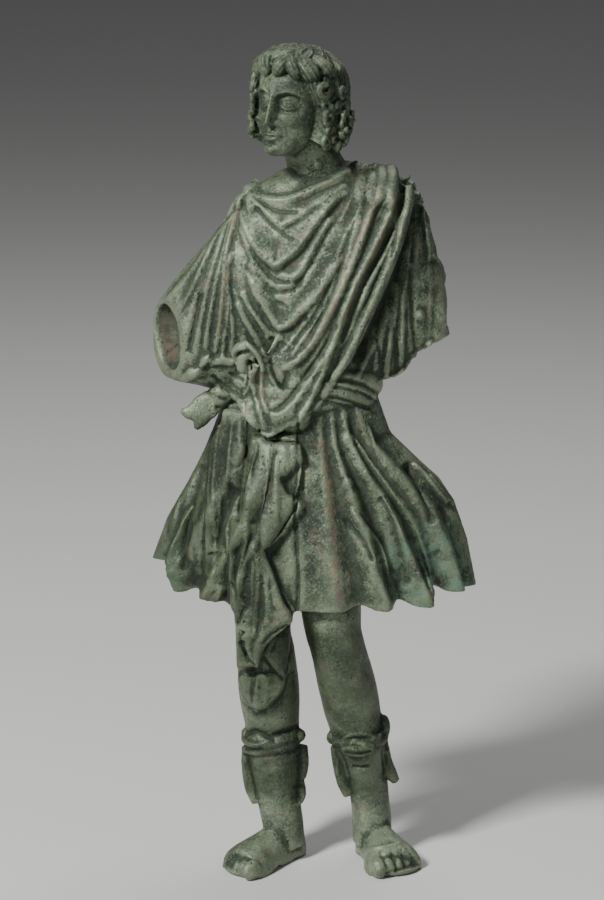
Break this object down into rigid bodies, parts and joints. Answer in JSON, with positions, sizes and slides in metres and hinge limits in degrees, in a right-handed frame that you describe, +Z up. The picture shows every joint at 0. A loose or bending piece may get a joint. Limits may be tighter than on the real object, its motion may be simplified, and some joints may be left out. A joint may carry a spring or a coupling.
{
  "type": "roman lar figure",
  "caption": "Bronze household figure of a standing youth in a flared pleated tunic and a draped cloak, both arms lost, on its own two feet.",
  "frame": {"origin": "middle of the figure's bounding box, at the level of its soles", "axes": "+Z up along the figure's height, -Y the way the chest faces, +X to the right hand of someone facing the figure's front"},
  "size_m": [0.1324, 0.069, 0.3401],
  "materials": {
    "green_bronze": "old cast bronze under a mottled green patina, worn browner on its ridges"
  },
  "bodies": {
    "root": {"lar_figure": "green_bronze"}
  },
  "joints": []
}
